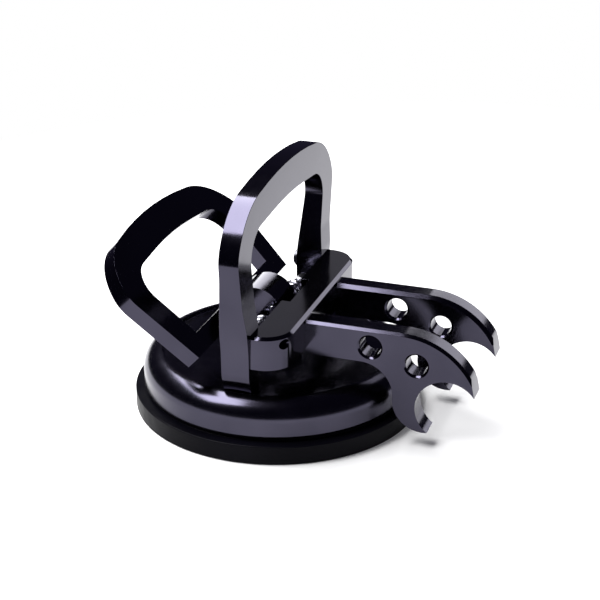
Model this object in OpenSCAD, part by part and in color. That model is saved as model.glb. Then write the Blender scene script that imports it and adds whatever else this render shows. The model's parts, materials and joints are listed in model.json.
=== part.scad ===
// Hand vacuum suction cup with a fixed upright grip, a sprung lever grip and two claw arms.
// Millimetres. Origin: centre of the pad's bottom face. +X: the way the claw arms point. +Z: up.
// The lever turns about the cross rod. Its cam barrel lifts the stem and the middle of the rubber.

/* [Pad] */
// Outer diameter of the rubber pad
pad_d = 120; // [80:1:200]
// Height of the pad's outer ring
pad_h = 8; // [4:0.1:16]
// Thickness of the rubber web
web_t = 4; // [2:0.5:8]
// Diameter of the lifted middle of the rubber
centre_d = 39.2; // [20:0.2:60]

/* [Housing] */
// Diameter of the housing's wall
housing_d = 112.6; // [70:0.2:190]
// Height of the housing's shoulder above the floor
housing_top = 24.6; // [15:0.1:40]
// Radius of the rounded shoulder
shoulder_r = 8.6; // [3:0.1:12]
// Radius of the housing's rounded lower edge
edge_r = 1.6; // [0.5:0.1:3]
// Diameter of the sharp rim round the dish
rim_d = 96.6; // [60:0.2:170]
// Height of the flat floor the feet stand on
floor_z = 22.8; // [12:0.1:38]

/* [Grips] */
// Height of the upright grip's top
grip_top = 105.9; // [70:0.1:160]
// Thickness of the upright grip at its legs
leg_t = 11.5; // [6:0.1:20]
// Thickness of the upright grip at its bow
bow_t = 8.1; // [4:0.1:16]
// Thickness of the lever grip
lever_t = 6.6; // [4:0.1:12]
// Lean of the released lever from the upright
lever_lean = 47; // [20:1:60]

/* [Pivot] */
// Height of the cross rod's axis
pivot_z = 37.5; // [30:0.1:60]
// Distance of the cross rod's axis behind the pad's centre
pivot_back = 1.8; // [0:0.1:6]
// Radius of the cross rod
rod_r = 2.1; // [1.5:0.05:4]
// Radius of the cam barrel
cam_r = 11.2; // [8:0.1:16]
// Length of the cam barrel
cam_len = 18; // [12:0.5:30]
// Distance from the rod's axis to the barrel's axis
cam_ecc = 5.85; // [3:0.05:8]
// Radial clearance of turning and sliding fits
fit = 0.05; // [0.02:0.01:0.1]

/* [Crossbar] */
// Width of the crossbar along the claw direction
bar_w = 14.2; // [10:0.1:24]
// Height of the crossbar
bar_h = 13.8; // [8:0.1:24]
// Height of the crossbar's top face
bar_top = 49.8; // [40:0.1:70]
// Half length of the crossbar
bar_half = 49.2; // [30:0.1:80]
// Radius of the crossbar's rounded corners
bar_round = 11.4; // [4:0.1:14]
// Depth of the notch that clears the cam barrel
notch_d = 3.6; // [2:0.1:6]

/* [Claw arms] */
// Thickness of each arm
arm_t = 9.6; // [5:0.1:16]
// Gap between the two arms
arm_gap = 30; // [16:0.5:60]
// Height of the arms' top face
arm_top = 48.2; // [36:0.1:60]
// Height of the arms' straight lower edge
arm_low = 34; // [24:0.1:46]
// Radius of the claw mouth
mouth_r = 13; // [8:0.1:20]
// Radius of the two holes through each arm
arm_hole_r = 4.4; // [2:0.1:6]

/* [Output] */
// Sub-part to show

/* [Hidden] */
$fn = 96;
pad_r = pad_d / 2;
centre_r = centre_d / 2;
housing_r = housing_d / 2;
rim_r = rim_d / 2;
seat_z = pad_h + 1;
web_z = 0.6;
shoulder_c = [housing_r - shoulder_r, housing_top - shoulder_r];
face_x = 6.2;
grip_back = face_x - leg_t;
bow_front = face_x - 0.9;
foot_y = 43;
rod_half = 46;
pin_arm = 4.6;
pin_r = 1.5;
cam_angle = 141.2;
cam_x = -pivot_back + cam_ecc * cos(cam_angle);
cam_z = pivot_z + cam_ecc * sin(cam_angle);
lever_front = -7.55;
lever_back = lever_front - lever_t;
lever_low = 9.8;
lever_bar = 17.4;
bar_front = face_x + bar_w;
bar_low = bar_top - bar_h;
arm_in = arm_gap / 2;
arm_out = arm_in + arm_t;
screw_y = 43.8;
screw_z = 46.2;
mouth_c = [78.9, 17.3];
brow_c = [59.9, 15.1];
crook_c = [43.3, 20.6];
crook_r = arm_low - crook_c[1];
heel_r = 12.4;
heel_c = crook_c + (crook_r + heel_r) * [cos(-3.5), sin(-3.5)];
arm_holes = [[47.1, 40.6], [66.0, 35.4]];
cast_black = [0.09, 0.085, 0.11];
steel_black = [0.06, 0.06, 0.07];
steel_bright = [0.62, 0.62, 0.66];
rubber_black = [0.05, 0.05, 0.055];

// Points along an arc.
function arc(c, r, a0, a1, n = 12) =
    [for (i = [0:n]) c + r * [cos(a0 + (a1 - a0) * i / n), sin(a0 + (a1 - a0) * i / n)]];

// One corner of an outline, rounded to radius r.
function corner(p, q, s, r) =
    r <= 0 ? [q] :
    let(u = (p - q) / norm(p - q), w = (s - q) / norm(s - q), half = acos(u * w) / 2)
    let(c = q + (u + w) / norm(u + w) * r / sin(half))
    let(a = q + u * r / tan(half) - c, b = q + w * r / tan(half) - c)
    let(a0 = atan2(a[1], a[0]), d = atan2(b[1], b[0]) - a0)
    let(turn = d > 180 ? d - 360 : d < -180 ? d + 360 : d)
    arc(c, r, a0, a0 + turn, max(1, ceil(abs(turn) / 3)));

// A closed outline from [x, y, corner radius] points.
function rounded(v) =
    let(n = len(v), p = [for (k = v) [k[0], k[1]]])
    [for (i = [0:n - 1]) each corner(p[(i + n - 1) % n], p[i], p[(i + 1) % n], v[i][2])];

// The same half outline on both sides of the middle.
function both_sides(half, top) =
    concat(half, [top], [for (i = [len(half) - 1:-1:0]) [-half[i][0], half[i][1], half[i][2]]]);

// Extrude a [x, z] outline along Y.
module along_y(y0, y1) {
    translate([0, y1, 0])
        rotate([90, 0, 0])
            linear_extrude(y1 - y0)
                children();
}

// Extrude a [y, z] outline along X.
module along_x(x0, x1) {
    translate([x0, 0, 0])
        rotate([90, 0, 90])
            linear_extrude(x1 - x0)
                children();
}

module rod_y(x, z, r, y0, y1) {
    translate([x, y0, z])
        rotate([-90, 0, 0])
            cylinder(h = y1 - y0, r = r);
}

module rod_x(y, z, r, x0, x1) {
    translate([x0, y, z])
        rotate([0, 90, 0])
            cylinder(h = x1 - x0, r = r);
}

// Turn a shape built round the cross rod into the released lever's place.
module lever_place() {
    translate([-pivot_back, 0, pivot_z])
        rotate([0, -lever_lean, 0])
            children();
}

// ---- Rubber pad ----

module rubber_lip() {
    color(rubber_black)
        rotate_extrude()
            polygon([[centre_r + 0.4, web_z], [51, web_z], [52.5, 0], [pad_r - 0.6, 0],
                [pad_r, 0.6], [pad_r, pad_h - 0.4], [pad_r - 0.4, pad_h], [housing_r - 1, pad_h],
                [housing_r - 1.6, seat_z], [50.2, seat_z], [50.2, 12.3], [46.4, 12.3],
                [43, web_z + web_t], [centre_r + 0.4, web_z + web_t]]);
}

module rubber_centre() {
    color(rubber_black)
        cylinder(h = web_z + web_t, r = centre_r);
}

// ---- Housing ----

module housing_profile() {
    difference() {
        union() {
            translate([0, seat_z])
                square([housing_r - edge_r, shoulder_c[1] - seat_z]);
            translate([0, seat_z + edge_r])
                square([housing_r, shoulder_c[1] - seat_z - edge_r]);
            translate([housing_r - edge_r, seat_z + edge_r])
                circle(r = edge_r);
            translate([0, seat_z])
                square([shoulder_c[0], housing_top - seat_z]);
            translate(shoulder_c)
                circle(r = shoulder_r);
        }
        // Dish inside the rim.
        polygon([[-1, 20.6], [12, 20.6], [34, floor_z], [rim_r - 0.4, floor_z],
            [rim_r, housing_top], [rim_r, housing_top + 1], [-1, housing_top + 1]]);
        // Hollow underside, and the space under the seat on the rubber.
        polygon([[-1, seat_z - 5], [53.6, seat_z - 5], [53.6, seat_z], [50.4, seat_z],
            [50.4, 14.5], [46, 18.8], [34, 18.8], [14, 16.6], [-1, 16.6]]);
        translate([-10, 0])
            square([10, 40]);
    }
}

module housing() {
    color(cast_black)
        difference() {
            rotate_extrude()
                housing_profile();
            translate([0, 0, 10])
                cylinder(h = 20, r = 6);
            for (s = [-1, 1])
                translate([0.4, s * foot_y, 15])
                    cylinder(h = 12, r = 2.1);
        }
}

// Ring that holds the rubber's bead up inside the housing.
module bead_ring() {
    color(steel_black)
        translate([0, 0, 12.3])
            difference() {
                cylinder(h = 2, r = 50.3);
                translate([0, 0, -1])
                    cylinder(h = 4, r = 44.5);
            }
}

// Six-sided bush that guides the stem.
module stem_guide() {
    color(steel_black)
        difference() {
            union() {
                translate([0, 0, 20.6])
                    cylinder(h = 4, r = 10.4, $fn = 6);
                translate([0, 0, 12.8])
                    cylinder(h = 8, r = 6);
            }
            translate([0, 0, 10])
                cylinder(h = 20, r = 4 + fit);
        }
}

module guide_nut() {
    color(steel_black)
        translate([0, 0, 13.2])
            difference() {
                cylinder(h = 3.4, r = 11, $fn = 6);
                translate([0, 0, -1])
                    cylinder(h = 6, r = 6);
            }
}

// ---- Stem ----

module stem() {
    color(steel_bright)
        difference() {
            union() {
                translate([0, 0, web_z + web_t + 1.8])
                    cylinder(h = 19, r = 4);
                translate([0, 0, 25])
                    cylinder(h = 2.6, r = 6.5);
            }
            // Slot for the link's foot.
            translate([-8, -2.2, 26.2])
                cube([16, 4.4, 4]);
        }
}

module lift_plate() {
    color(steel_black)
        translate([0, 0, web_z + web_t])
            cylinder(h = 1.8, r = 17);
}

// Hook that the cam pin raises, joined to the stem's head.
module lift_link() {
    jaw = -pivot_back - rod_r - 0.7;
    color(steel_black)
        along_y(-2.2, 2.2)
            polygon([[3, 26.2], [3, 28.4], [jaw, 28.4], [jaw, 35.4], [-8.5, 35.4],
                [-8.5, 39.6], [jaw, 39.6], [jaw, 42], [-10.6, 42], [-10.6, 26.2]]);
}

// ---- Grips ----

// Outline of the bow both grips share, measured from the cross rod.
module bow_outer() {
    polygon(rounded(both_sides([[46.8, -14.7, 0], [50.2, -6.5, 12], [50.4, 5.7, 60],
        [57.6, 45.1, 13.6], [48.8, 62.6, 29]], [0, grip_top - pivot_z + 2.5, 200])));
}

module bow_inner() {
    polygon(rounded(both_sides([[39.2, -20, 0], [39.4, 14.6, 60], [43.9, 42.1, 11],
        [38.6, 51.2, 12.4]], [0, 54.7, 200])));
}

module upright_grip() {
    color(cast_black)
        difference() {
            intersection() {
                translate([0, 0, pivot_z])
                    along_x(-10, 10)
                        difference() {
                            bow_outer();
                            bow_inner();
                        }
                along_y(-60, 60)
                    polygon(rounded([[face_x, floor_z, 0], [face_x, 52, 30], [bow_front, 62, 30],
                        [bow_front, grip_top + 5, 0], [bow_front - bow_t, grip_top + 5, 0],
                        [bow_front - bow_t, 76, 60], [grip_back, 50, 60],
                        [grip_back, floor_z, 0]]));
            }
            rod_y(-pivot_back, pivot_z, rod_r, -rod_half, rod_half);
            for (s = [-1, 1]) {
                rod_x(s * screw_y, screw_z, 2.1, -10, 10);
                translate([0.4, s * foot_y, floor_z - 1])
                    cylinder(h = 11, r = 2);
            }
        }
}

// Screws that hold the feet, put in from inside the housing.
module foot_screws() {
    color(steel_black)
        for (s = [-1, 1])
            translate([0.4, s * foot_y, 0]) {
                translate([0, 0, 15.6])
                    cylinder(h = 3.2, r = 3.5);
                translate([0, 0, 18])
                    cylinder(h = 14, r = 2);
            }
}

module lever_grip() {
    color(cast_black)
        difference() {
            lever_place()
                along_x(lever_back, lever_front)
                    difference() {
                        intersection() {
                            bow_outer();
                            translate([-80, lever_low])
                                square([160, 100]);
                        }
                        intersection() {
                            bow_inner();
                            translate([-80, lever_bar])
                                square([160, 100]);
                        }
                    }
            lever_screw_holes(1.5);
        }
}

// Two holes through the lever's bar into the cam barrel.
module lever_screw_holes(r) {
    lever_place()
        for (s = [-1, 1])
            rod_x(s * 5.8, (lever_low + lever_bar) / 2, r, lever_back - 2, -1);
}

module lever_screws() {
    color(steel_black)
        lever_place()
            for (s = [-1, 1]) {
                rod_x(s * 5.8, (lever_low + lever_bar) / 2, 1.5, lever_back - 1, -1);
                rod_x(s * 5.8, (lever_low + lever_bar) / 2, 2.7, lever_back - 1.6, lever_back);
            }
}

// ---- Pivot ----

module cross_rod() {
    color(steel_bright)
        rod_y(-pivot_back, pivot_z, rod_r, -rod_half, rod_half);
}

module spacer(y0, y1) {
    color(steel_bright)
        difference() {
            rod_y(-pivot_back, pivot_z, 3.4, y0, y1);
            rod_y(-pivot_back, pivot_z, rod_r, y0 - 1, y1 + 1);
        }
}

module spacer_near() {
    spacer(-39.3, -32.2);
}

module spacer_far() {
    spacer(32.2, 39.3);
}

module cam_barrel() {
    color(cast_black)
        difference() {
            rod_y(cam_x, cam_z, cam_r, -cam_len / 2, cam_len / 2);
            rod_y(-pivot_back, pivot_z, rod_r + fit, -cam_len, cam_len);
            rod_y(-pivot_back - pin_arm, pivot_z, pin_r, -7, 7);
            // Pocket for the lift link, open underneath.
            rod_y(cam_x, cam_z, cam_r - 1.8, -2.8, 2.8);
            translate([cam_x - 6.4, -2.8, cam_z - cam_r - 2])
                cube([13.8, 5.6, cam_r + 2]);
            // Corner cut that seats the lever's bar.
            lever_place()
                translate([lever_front - 20, -20, lever_low])
                    cube([20, 40, 30]);
            lever_screw_holes(1.5);
        }
}

module cam_pin() {
    color(steel_bright)
        rod_y(-pivot_back - pin_arm, pivot_z, pin_r, -7, 7);
}

// Path of one torsion spring round the rod: [x, y, z, radial x, radial z] per point.
spring_r = 3.7;
wire_r = 1.3;
spring_pitch = 3.6;
spring_turns = 5.25;
spring_y = 11.4;
spring_steps = 22;

function coil_point(a) =
    let(y = spring_y + spring_pitch * a / 360, u = [-sin(a + 90), cos(a + 90)])
    [-pivot_back - spring_r * u[0], y, pivot_z - spring_r * u[1], -u[0], -u[1]];

function coil_path() =
    let(n = round(spring_steps * spring_turns), turn = 360 * spring_turns)
    let(a = coil_point(0), b = coil_point(turn))
    concat(
        [[a[0] + a[4] * 9, a[1], a[2] - a[3] * 9, a[3], a[4]]],
        [for (i = [0:n]) coil_point(turn * i / n)],
        [[b[0] - b[4] * 10, b[1], b[2] + b[3] * 10, b[3], b[4]]]);

module spring() {
    path = coil_path();
    sides = 10;
    n = len(path);
    points = [for (p = path) for (k = [0:sides - 1])
        let(c = wire_r * cos(360 * k / sides), s = wire_r * sin(360 * k / sides))
        [p[0] + c * p[3], p[1] + s, p[2] + c * p[4]]];
    skin = [for (i = [0:n - 2]) for (k = [0:sides - 1])
        let(j = (k + 1) % sides)
        [i * sides + k, (i + 1) * sides + k, (i + 1) * sides + j, i * sides + j]];
    caps = [[for (k = [0:sides - 1]) k], [for (k = [sides - 1:-1:0]) (n - 1) * sides + k]];
    polyhedron(points = points, faces = concat(skin, caps), convexity = 8);
}

module spring_far() {
    color(steel_bright)
        spring();
}

module spring_near() {
    color(steel_bright)
        mirror([0, 1, 0])
            spring();
}

// ---- Crossbar ----

module crossbar_plan() {
    difference() {
        translate([face_x, -bar_half])
            square([bar_w, 2 * bar_half]);
        for (s = [0, 1])
            mirror([0, s])
                translate([bar_front - bar_round, bar_half - bar_round])
                    difference() {
                        square(bar_round + 1);
                        circle(r = bar_round);
                    }
        translate([face_x - 1, -12])
            square([notch_d + 1, 24]);
    }
}

// Bevel along the crossbar's top front edge and round its ends.
module crossbar_bevel() {
    c = 1.2;
    cut = [[-c - 0.1, 0.1], [1.1, 0.1], [1.1, -c - 1.1]];
    along_y(-bar_half + bar_round, bar_half - bar_round)
        translate([bar_front, bar_top])
            polygon(cut);
    for (s = [0, 1])
        mirror([0, s, 0]) {
            translate([bar_front - bar_round, bar_half - bar_round, bar_top])
                rotate_extrude(angle = 90)
                    translate([bar_round, 0])
                        polygon(cut);
            translate([0, bar_half, bar_top])
                rotate([90, 0, 90])
                    linear_extrude(bar_front - bar_round)
                        polygon(cut);
        }
}

module crossbar() {
    color(cast_black)
        difference() {
            translate([0, 0, bar_low])
                linear_extrude(bar_h)
                    crossbar_plan();
            crossbar_bevel();
            for (s = [-1, 1]) {
                rod_x(s * screw_y, screw_z, 2.1, 0, 30);
                for (z = [39.2, 45.2]) {
                    rod_x(s * (arm_in + arm_t / 2), z, 2.1, 0, 30);
                    rod_x(s * (arm_in + arm_t / 2), z, 2.8, 0, face_x + 3);
                }
            }
        }
}

// Button-head screw from the grip's back face into the crossbar.
module grip_screw(s) {
    color(steel_black)
        difference() {
            union() {
                rod_x(s * screw_y, screw_z, 2, grip_back - 1, 15);
                rod_x(s * screw_y, screw_z, 3.8, grip_back - 1.2, grip_back);
                rod_x(s * screw_y, screw_z, 3, grip_back - 2, grip_back - 1);
            }
            translate([grip_back - 3, s * screw_y, screw_z])
                rotate([0, 90, 0])
                    cylinder(h = 2.2, r = 1.4, $fn = 6);
        }
}

module grip_screw_near() {
    grip_screw(-1);
}

module grip_screw_far() {
    grip_screw(1);
}

// ---- Claw arms ----

module arm_outline() {
    difference() {
        union() {
            translate([bar_front, arm_low])
                square([brow_c[0] - bar_front, arm_top - arm_low]);
            // Brow, from the straight arm round to the upper tip.
            intersection() {
                translate(brow_c)
                    circle(r = arm_top - brow_c[1]);
                polygon([crook_c, [crook_c[0], arm_top + 1], [84.5, arm_top + 1], [89.5, 24.7],
                    mouth_c, heel_c]);
            }
            // Heel, from the underside round to the lower tip.
            intersection() {
                translate(heel_c)
                    circle(r = heel_r);
                polygon([crook_c, heel_c, mouth_c, [68.7, 3.2], [50, 3.2]]);
            }
        }
        translate(mouth_c)
            circle(r = mouth_r);
        translate(crook_c)
            circle(r = crook_r);
    }
}

// Bevel of size c along the top edge of an arm face that lies at y = 0 and looks to -Y.
module arm_bevel(c) {
    translate([bar_front, 0, arm_top])
        rotate([90, 0, 90])
            linear_extrude(brow_c[0] - bar_front)
                polygon([[-0.2, 0.2], [c + 0.2, 0.2], [-0.2, -c - 0.2]]);
    translate([brow_c[0], 0, brow_c[1]])
        rotate([90, 0, 0])
            rotate([0, 0, 28])
                rotate_extrude(angle = 62)
                    translate([arm_top - brow_c[1], 0])
                        polygon([[0.2, 0.2], [0.2, -c - 0.2], [-c - 0.2, 0.2]]);
}

// One arm, with its outer face towards -Y.
module claw_arm() {
    color(cast_black)
        difference() {
            along_y(-arm_out, -arm_in)
                arm_outline();
            translate([0, -arm_out, 0])
                arm_bevel(1.1);
            translate([0, -arm_in, 0])
                mirror([0, 1, 0])
                    arm_bevel(1.5);
            for (h = arm_holes) {
                rod_y(h[0], h[1], arm_hole_r, -arm_out - 1, -arm_in + 1);
                translate([h[0], -arm_out - 0.1, h[1]])
                    rotate([-90, 0, 0])
                        cylinder(h = 0.9, r1 = arm_hole_r + 0.9, r2 = arm_hole_r);
                translate([h[0], -arm_in + 0.1, h[1]])
                    rotate([90, 0, 0])
                        cylinder(h = 0.9, r1 = arm_hole_r + 0.9, r2 = arm_hole_r);
            }
            for (z = [39.2, 45.2])
                rod_x(-arm_in - arm_t / 2, z, 2, 0, bar_front + 12);
        }
}

module claw_arm_near() {
    claw_arm();
}

module claw_arm_far() {
    mirror([0, 1, 0])
        claw_arm();
}

// Two cap screws that hold one arm, sunk into the crossbar's back face.
module arm_screws(s) {
    color(steel_black)
        for (z = [39.2, 45.2]) {
            rod_x(s * (arm_in + arm_t / 2), z, 2, face_x, bar_front + 12);
            rod_x(s * (arm_in + arm_t / 2), z, 2.7, face_x + 0.2, face_x + 3);
        }
}

module arm_screws_near() {
    arm_screws(-1);
}

module arm_screws_far() {
    arm_screws(1);
}

rubber_lip();
rubber_centre();
housing();
bead_ring();
stem_guide();
guide_nut();
stem();
lift_plate();
lift_link();
upright_grip();
foot_screws();
cross_rod();
spacer_near();
spacer_far();
spring_near();
spring_far();
cam_barrel();
cam_pin();
lever_grip();
lever_screws();
crossbar();
grip_screw_near();
grip_screw_far();
claw_arm_near();
claw_arm_far();
arm_screws_near();
arm_screws_far();
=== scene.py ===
"""Vacuum suction cup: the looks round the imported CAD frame. Metres; +X is the way the claw arms point."""

import json
import math

import bmesh
import bpy
from mathutils import Matrix, Vector

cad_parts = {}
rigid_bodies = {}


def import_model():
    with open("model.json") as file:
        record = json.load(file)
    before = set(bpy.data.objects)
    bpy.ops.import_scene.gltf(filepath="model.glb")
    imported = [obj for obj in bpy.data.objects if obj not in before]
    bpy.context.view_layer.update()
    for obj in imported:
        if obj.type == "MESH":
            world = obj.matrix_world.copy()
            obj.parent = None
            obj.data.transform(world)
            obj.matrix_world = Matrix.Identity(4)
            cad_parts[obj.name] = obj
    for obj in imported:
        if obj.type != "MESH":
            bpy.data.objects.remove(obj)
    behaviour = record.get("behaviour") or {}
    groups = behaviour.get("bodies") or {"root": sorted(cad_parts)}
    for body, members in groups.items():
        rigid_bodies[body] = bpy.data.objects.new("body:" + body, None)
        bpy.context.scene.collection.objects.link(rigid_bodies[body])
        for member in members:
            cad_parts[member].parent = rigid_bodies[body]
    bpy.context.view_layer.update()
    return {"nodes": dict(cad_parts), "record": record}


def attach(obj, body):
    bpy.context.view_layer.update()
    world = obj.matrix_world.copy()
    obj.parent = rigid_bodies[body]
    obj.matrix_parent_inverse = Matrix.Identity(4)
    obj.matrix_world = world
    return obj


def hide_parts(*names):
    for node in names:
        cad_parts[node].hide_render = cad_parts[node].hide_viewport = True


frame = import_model()

MM = 0.001
NODES = frame["nodes"]
BODY = {n: b for b, names in frame["record"]["behaviour"]["bodies"].items() for n in names}

# ---- Camera, at the photograph's viewing angle ----

PAD_R = 60 * MM
CAM_AZ = math.radians(18.93)
CAM_EL = math.radians(23.41)
CAM_BACK = 10.361 * PAD_R
CAM_RIGHT = 0.1551 * PAD_R
CAM_UP = 0.6759 * PAD_R
FOCAL = 87.42
SENSOR = 36.0


def make_camera():
    right = Vector((math.cos(CAM_AZ), math.sin(CAM_AZ), 0))
    away = Vector((-math.sin(CAM_AZ), math.cos(CAM_AZ), 0))
    up_z = Vector((0, 0, 1))
    look = away * math.cos(CAM_EL) - up_z * math.sin(CAM_EL)
    up = away * math.sin(CAM_EL) + up_z * math.cos(CAM_EL)
    data = bpy.data.cameras.new("camera")
    data.lens = FOCAL
    data.sensor_width = SENSOR
    data.clip_start = 0.01
    data.clip_end = 50
    cam = bpy.data.objects.new("camera", data)
    bpy.context.scene.collection.objects.link(cam)
    turn = Matrix((right, up, -look)).transposed()
    place = right * CAM_RIGHT + up * CAM_UP - look * CAM_BACK
    cam.matrix_world = Matrix.Translation(place) @ turn.to_4x4()
    bpy.context.scene.camera = cam


make_camera()

# ---- Materials ----


# The part of a noise's 0 to 1 that holds most of it, spread over the whole range it drives.
NOISE_SPAN = (0.3, 0.7)


class Shader:
    """A material's node tree, with short ways to add nodes."""

    def __init__(self, name):
        self.mat = bpy.data.materials.new(name)
        self.mat.use_nodes = True
        self.tree = self.mat.node_tree
        self.bsdf = self.tree.nodes["Principled BSDF"]
        self.place = self.tree.nodes.new("ShaderNodeTexCoord").outputs["Object"]

    def link(self, a, b):
        self.tree.links.new(a, b)

    def set(self, **values):
        for key, value in values.items():
            self.bsdf.inputs[key.replace("_", " ")].default_value = value

    def noise(self, scale, detail=3.0, rough=0.55):
        node = self.tree.nodes.new("ShaderNodeTexNoise")
        node.inputs["Scale"].default_value = scale
        node.inputs["Detail"].default_value = detail
        node.inputs["Roughness"].default_value = rough
        self.link(self.place, node.inputs["Vector"])
        return node.outputs["Fac"]

    def ramp(self, fac, low, high):
        """fac turned into a colour between low and high."""
        node = self.tree.nodes.new("ShaderNodeValToRGB")
        ends = node.color_ramp.elements
        ends[0].position, ends[1].position = NOISE_SPAN
        ends[0].color = (*low, 1)
        ends[1].color = (*high, 1)
        self.link(fac, node.inputs["Fac"])
        return node.outputs["Color"]

    def span(self, fac, low, high):
        """fac turned into a number between low and high."""
        node = self.tree.nodes.new("ShaderNodeMapRange")
        for key, value in zip(("From Min", "From Max", "To Min", "To Max"), (*NOISE_SPAN, low, high)):
            node.inputs[key].default_value = value
        self.link(fac, node.inputs["Value"])
        return node.outputs["Result"]

    def bump(self, height, strength, depth, under=None):
        node = self.tree.nodes.new("ShaderNodeBump")
        node.inputs["Strength"].default_value = strength
        node.inputs["Distance"].default_value = depth
        self.link(height, node.inputs["Height"])
        if under:
            self.link(under, node.inputs["Normal"])
        return node.outputs["Normal"]


def anodised(name, low, high, rough):
    """Black anodised aluminium: satin, a little purple, with a very fine blasted grain."""
    s = Shader(name)
    s.set(Metallic=1.0)
    cloud = s.noise(38, 2.0)
    s.link(s.ramp(cloud, low, high), s.bsdf.inputs["Base Color"])
    s.link(s.span(s.noise(160, 4.0, 0.65), rough - 0.02, rough + 0.03), s.bsdf.inputs["Roughness"])
    grain = s.bump(s.noise(5200, 2.0), 0.10, 0.00002)
    s.link(s.bump(s.noise(45, 1.0), 0.06, 0.0002, grain), s.bsdf.inputs["Normal"])
    return s.mat


def steel(name, low, high, rough):
    """Steel with a fine grain in its colour, gloss and surface."""
    s = Shader(name)
    s.set(Metallic=1.0)
    grain = s.noise(2600, 3.0, 0.6)
    s.link(s.ramp(grain, low, high), s.bsdf.inputs["Base Color"])
    s.link(s.span(grain, rough, rough + 0.1), s.bsdf.inputs["Roughness"])
    s.link(s.bump(grain, 0.15, 0.00002), s.bsdf.inputs["Normal"])
    return s.mat


def rubber(name):
    """Moulded black rubber: satin, with a fine matt grain."""
    s = Shader(name)
    cloud = s.noise(30, 3.0)
    s.link(
        s.ramp(cloud, (0.0012, 0.0011, 0.0026), (0.0022, 0.0020, 0.0042)), s.bsdf.inputs["Base Color"]
    )
    s.set(Specular_IOR_Level=0.05)
    s.link(s.span(s.noise(220, 3.0), 0.34, 0.46), s.bsdf.inputs["Roughness"])
    s.link(s.bump(s.noise(3800, 2.0), 0.2, 0.00003), s.bsdf.inputs["Normal"])
    return s.mat


CAST = anodised("anodised_black", (0.038, 0.0358, 0.052), (0.046, 0.0432, 0.062), 0.13)
DISH = anodised("anodised_gloss", (0.041, 0.039, 0.056), (0.050, 0.047, 0.067), 0.20)
OXIDE = steel("black_oxide_steel", (0.085, 0.085, 0.095), (0.13, 0.13, 0.14), 0.24)
STEEL = steel("bright_steel", (0.50, 0.50, 0.54), (0.66, 0.66, 0.70), 0.16)
SPRING = steel("spring_steel", (0.24, 0.24, 0.27), (0.38, 0.38, 0.42), 0.14)
RUBBER = rubber("black_rubber")

# ---- Pieces ----


def add_piece(name, bm, mat, body, nodes):
    """A finished mesh as a piece that stands for CAD nodes and rides on their body."""
    mesh = bpy.data.meshes.new(name)
    bmesh.ops.recalc_face_normals(bm, faces=bm.faces)
    for f in bm.faces:
        f.smooth = True
    bm.to_mesh(mesh)
    bm.free()
    obj = bpy.data.objects.new(name, mesh)
    bpy.context.scene.collection.objects.link(obj)
    mesh.materials.append(mat)
    weighted = obj.modifiers.new("weighted normals", "WEIGHTED_NORMAL")
    weighted.weight = 80
    weighted.keep_sharp = True
    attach(obj, body)
    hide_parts(*nodes)
    return obj


WELD = 1e-6
FLAT_ANGLE = math.radians(0.3)
SHARP_ANGLE = math.radians(24)
BEVEL_SEGMENTS = 3


def refined(node, mat, bevel):
    """A CAD node with its flat faces made whole and its sharp edges eased."""
    bm = bmesh.new()
    bm.from_mesh(NODES[node].data)
    bmesh.ops.remove_doubles(bm, verts=bm.verts, dist=WELD)
    bmesh.ops.dissolve_limit(
        bm, angle_limit=FLAT_ANGLE, verts=bm.verts, edges=bm.edges, delimit=set()
    )
    edges = [
        e for e in bm.edges
        if len(e.link_faces) == 2 and e.calc_face_angle(0) > SHARP_ANGLE
    ]
    bmesh.ops.bevel(
        bm, geom=edges, offset=bevel, offset_type="OFFSET", segments=BEVEL_SEGMENTS,
        profile=0.5, affect="EDGES", clamp_overlap=True,
    )
    bmesh.ops.remove_doubles(bm, verts=bm.verts, dist=WELD)
    return add_piece(node + "_piece", bm, mat, BODY[node], [node])


def lathe(profile, steps):
    """A closed outline of (radius, height) points turned round Z. Points at radius 0 make a pole."""
    bm = bmesh.new()
    rings = []
    for r, z in profile:
        if r < 1e-7:
            rings.append([bm.verts.new((0, 0, z))] * steps)
        else:
            rings.append([
                bm.verts.new((r * math.cos(a), r * math.sin(a), z))
                for a in (2 * math.pi * k / steps for k in range(steps))
            ])
    for i in range(len(rings)):
        a, b = rings[i], rings[(i + 1) % len(rings)]
        if a[0] is a[1] and b[0] is b[1]:
            continue
        for k in range(steps):
            j = (k + 1) % steps
            corners = []
            for v in (a[k], b[k], b[j], a[j]):
                if v not in corners:
                    corners.append(v)
            bm.faces.new(corners)
    return bm


def eased(points):
    """[(r, z, corner radius), ...] in mm as a closed outline in metres with rounded corners."""
    out = []
    n = len(points)
    for i in range(n):
        p, q, s = (Vector(points[j % n][:2]) for j in (i - 1, i, i + 1))
        radius = points[i][2]
        if radius <= 0:
            out.append(q * MM)
            continue
        u, w = (p - q).normalized(), (s - q).normalized()
        half = u.angle(w) / 2
        c = q + (u + w).normalized() * radius / math.sin(half)
        a, b = q + u * radius / math.tan(half) - c, q + w * radius / math.tan(half) - c
        turn = a.angle(b)
        sign = 1 if a.x * b.y - a.y * b.x > 0 else -1
        steps = max(2, math.ceil(math.degrees(turn) / 6))
        for k in range(steps + 1):
            t = sign * turn * k / steps
            out.append((c + Vector((a.x * math.cos(t) - a.y * math.sin(t),
                                    a.x * math.sin(t) + a.y * math.cos(t)))) * MM)
    return [tuple(v) for v in out]


# Radii and heights of the round pieces, in mm.
PAD = 60.0
PAD_H = 8.0
SEAT = 9.0
HOUSING = 56.3
TOP = 24.6
SHOULDER = 8.55
RIM = 48.3
FLOOR = 22.8
RIM_TOP = TOP - 0.02
SMOOTH_SIDES = 256
CENTRE_SIDES = 128


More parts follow.
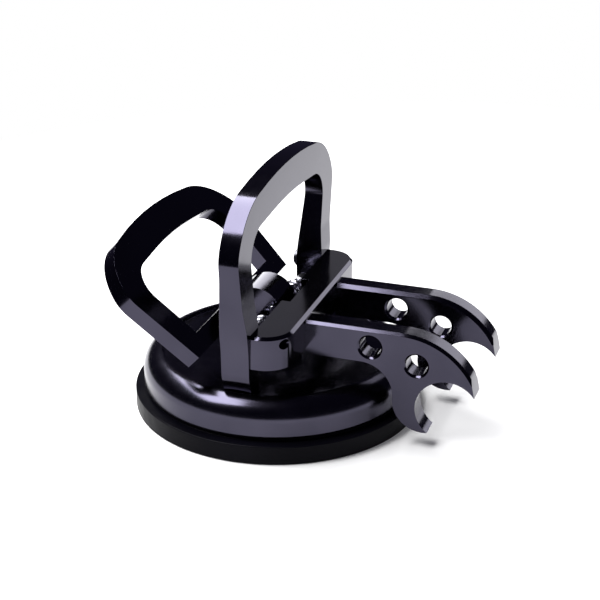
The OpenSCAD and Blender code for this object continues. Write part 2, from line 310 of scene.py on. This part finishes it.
def shoulder(steps=30):
    """Points from the rim over the rounded shoulder to the wall."""
    x, z = HOUSING - SHOULDER, TOP - SHOULDER
    start = math.degrees(math.acos((RIM + 0.2 - x) / SHOULDER))
    turns = (math.radians(start * (1 - k / steps)) for k in range(steps + 1))
    return [(x + SHOULDER * math.cos(t), z + SHOULDER * math.sin(t), 0) for t in turns]


HOUSING_PROFILE = [
    (0, 20.6, 0), (12, 20.6, 3), (34, FLOOR, 40), (RIM - 0.4, FLOOR, 0.5), (RIM, RIM_TOP, 0.1),
    *shoulder(), (HOUSING, SEAT, 1.6),
    (50.4, SEAT, 0.2), (50.4, 14.5, 0.5), (46, 18.8, 1), (34, 18.8, 2), (14, 16.6, 2), (0, 16.6, 0),
]
add_piece("housing_piece", lathe(eased(HOUSING_PROFILE), SMOOTH_SIDES), DISH, "base", ["housing"])

LIP_PROFILE = [
    (20.0, 0.6, 0.2), (51, 0.6, 0.6), (52.5, 0, 0.4), (PAD, 0, 0.7), (PAD, PAD_H, 0.45),
    (55.3, PAD_H, 0.3), (54.7, SEAT, 0.2), (50.2, SEAT, 0.2), (50.2, 12.3, 0.3), (46.4, 12.3, 0.5),
    (43, 4.6, 1.0), (20.0, 4.6, 0.4),
]
add_piece("lip_piece", lathe(eased(LIP_PROFILE), SMOOTH_SIDES), RUBBER, "base", ["rubber_lip"])

CENTRE_PROFILE = [(0, 0.6, 0), (19.6, 0.6, 0.3), (19.6, 4.6, 0.3), (0, 4.6, 0)]
add_piece(
    "centre_piece", lathe(eased(CENTRE_PROFILE), CENTRE_SIDES), RUBBER, BODY["rubber_centre"],
    ["rubber_centre"],
)

for node, bevel in (
    ("upright_grip", 0.5), ("lever_grip", 0.5), ("crossbar", 0.35), ("claw_arm_near", 0.3),
    ("claw_arm_far", 0.3), ("cam_barrel", 0.3),
):
    refined(node, CAST, bevel * MM)
for node, bevel in (
    ("bead_ring", 0.2), ("stem_guide", 0.35), ("guide_nut", 0.3), ("lift_plate", 0.3), ("lift_link", 0.3),
    ("foot_screws", 0.2), ("lever_screws", 0.3), ("grip_screw_near", 0.3), ("grip_screw_far", 0.3),
    ("arm_screws_near", 0.25), ("arm_screws_far", 0.25),
):
    refined(node, OXIDE, bevel * MM)
for node, bevel in (
    ("stem", 0.3), ("cross_rod", 0.3), ("spacer_near", 0.25), ("spacer_far", 0.25), ("cam_pin", 0.2),
):
    refined(node, STEEL, bevel * MM)

# Torsion springs, in mm: round wire in a close coil on the rod, with straight ends.
ROD = Vector((-1.8, 0, 37.5))
COIL_R = 3.7
WIRE_R = 1.27
PITCH = 3.6
TURNS = 5.25
COIL_Y = 11.4
START_ARM = 9
END_ARM = 10
WIRE_SIDES = 16
TURN_STEPS = 48


def spring(side):
    """The spring on one side, its coil starting on the +X side of the rod."""
    path = []
    n = round(TURN_STEPS * TURNS)
    for k in range(n + 1):
        turns = TURNS * k / n
        a = 2 * math.pi * turns
        radial = Vector((math.cos(a), 0, math.sin(a)))
        path.append((Vector((ROD.x, COIL_Y + PITCH * turns, ROD.z)) + radial * COIL_R, radial))

    def past(end, length):
        """A straight arm's far end, along the wire from an end of the coil."""
        centre, radial = end
        return centre + Vector((radial.z, 0, -radial.x)) * length, radial

    path = [past(path[0], -START_ARM), *path, past(path[-1], END_ARM)]
    bm = bmesh.new()
    rings = []
    for centre, radial in path:
        ring = []
        for k in range(WIRE_SIDES):
            t = 2 * math.pi * k / WIRE_SIDES
            p = centre + radial * (WIRE_R * math.cos(t)) + Vector((0, WIRE_R * math.sin(t), 0))
            ring.append(bm.verts.new((p.x * MM, side * p.y * MM, p.z * MM)))
        rings.append(ring)
    for a, b in zip(rings, rings[1:]):
        for k in range(WIRE_SIDES):
            j = (k + 1) % WIRE_SIDES
            bm.faces.new((a[k], b[k], b[j], a[j]))
    bm.faces.new(rings[0])
    bm.faces.new(rings[-1])
    return bm


for side, node in ((-1, "spring_near"), (1, "spring_far")):
    add_piece(node + "_piece", spring(side), SPRING, BODY[node], [node])

# ---- Floor, world and lights ----

FLOOR_R = 0.40
FLOOR_AT = (0.05, 0.08)
FLOOR_SIDES = 128
FLOOR_DROP = 0.00002


def make_floor():
    """A round pale table top, lit to the same white as what is behind it."""
    mesh = bpy.data.meshes.new("floor")
    turns = [2 * math.pi * k / FLOOR_SIDES for k in range(FLOOR_SIDES)]
    mesh.from_pydata(
        [(FLOOR_AT[0] + FLOOR_R * math.cos(t), FLOOR_AT[1] + FLOOR_R * math.sin(t), 0) for t in turns],
        [], [tuple(range(FLOOR_SIDES))],
    )
    floor = bpy.data.objects.new("floor", mesh)
    bpy.context.scene.collection.objects.link(floor)
    floor.location.z = -FLOOR_DROP
    mat = bpy.data.materials.new("pale_floor")
    mat.use_nodes = True
    bsdf = mat.node_tree.nodes["Principled BSDF"]
    bsdf.inputs["Base Color"].default_value = (0.84, 0.84, 0.84, 1)
    bsdf.inputs["Roughness"].default_value = 0.9
    bsdf.inputs["Specular IOR Level"].default_value = 0.0
    bsdf.inputs["Emission Color"].default_value = (1, 1, 1, 1)
    bsdf.inputs["Emission Strength"].default_value = 0.12
    mesh.materials.append(mat)


make_floor()


def make_world():
    """White behind the object. For light and reflections, a dim studio."""
    world = bpy.data.worlds.new("studio")
    world.use_nodes = True
    bpy.context.scene.world = world
    tree = world.node_tree
    tree.nodes.clear()
    seen = tree.nodes.new("ShaderNodeBackground")
    seen.inputs["Color"].default_value = (1, 1, 1, 1)
    lit = tree.nodes.new("ShaderNodeBackground")
    lit.inputs["Color"].default_value = (0.55, 0.48, 1.0, 1)
    lit.inputs["Strength"].default_value = 0.045
    path = tree.nodes.new("ShaderNodeLightPath")
    mix = tree.nodes.new("ShaderNodeMixShader")
    out = tree.nodes.new("ShaderNodeOutputWorld")
    tree.links.new(path.outputs["Is Camera Ray"], mix.inputs["Fac"])
    tree.links.new(lit.outputs["Background"], mix.inputs[1])
    tree.links.new(seen.outputs["Background"], mix.inputs[2])
    tree.links.new(mix.outputs["Shader"], out.inputs["Surface"])


make_world()

AIM = Vector((0.01, 0, 0.035))


def soft_box(name, azimuth, elevation, distance, width, height, strength, along=None, only=None):
    """A soft box at an azimuth (0 is -Y, 90 is +X) and elevation from the object.

    Its width is level, or lies along a direction. With only, it lights just those pieces.
    """
    a, e = math.radians(azimuth), math.radians(elevation)
    out = Vector((math.sin(a) * math.cos(e), -math.cos(a) * math.cos(e), math.sin(e)))
    data = bpy.data.lights.new(name, "AREA")
    data.shape = "RECTANGLE"
    data.size = width
    data.size_y = height
    data.energy = strength * width * height * math.pi
    lamp = bpy.data.objects.new(name, data)
    bpy.context.scene.collection.objects.link(lamp)
    side = Vector(along) if along else Vector((0, 0, 1)).cross(out)
    side = (side - out * side.dot(out)).normalized()
    turn = Matrix((side, out.cross(side), out)).transposed()
    lamp.matrix_world = Matrix.Translation(AIM + out * distance) @ turn.to_4x4()
    lamp.visible_camera = False
    if only:
        lit = bpy.data.collections.new(name + "_lit")
        for piece in only:
            lit.objects.link(piece)
        lamp.light_linking.receiver_collection = lit


soft_box("key", -92, 61, 1.25, 1.6, 0.66, 15.0, along=(0, 1, 0))


def pieces(*names):
    """The finished pieces of some CAD nodes."""
    return [bpy.data.objects[n + "_piece"] for n in names]


soft_box("arms", 168, 19, 1.6, 1.2, 0.5, 3.0, only=pieces("claw_arm_near", "claw_arm_far", "crossbar"))
soft_box("dish", 160, 42, 1.6, 0.56, 0.34, 1.6, only=pieces("housing"))
soft_box("bar_top", -161, 24, 1.6, 1.2, 0.8, 0.3, only=pieces("crossbar"))
soft_box(
    "pivot", -161, 17, 1.6, 0.76, 0.72, 5.0,
    only=pieces("cam_barrel", "spacer_near", "spacer_far", "cross_rod"),
)
soft_box("coils", -161, 30, 1.6, 0.9, 1.6, 1.1, only=pieces("spring_near", "spring_far"))

bpy.context.scene.view_settings.view_transform = "Standard"
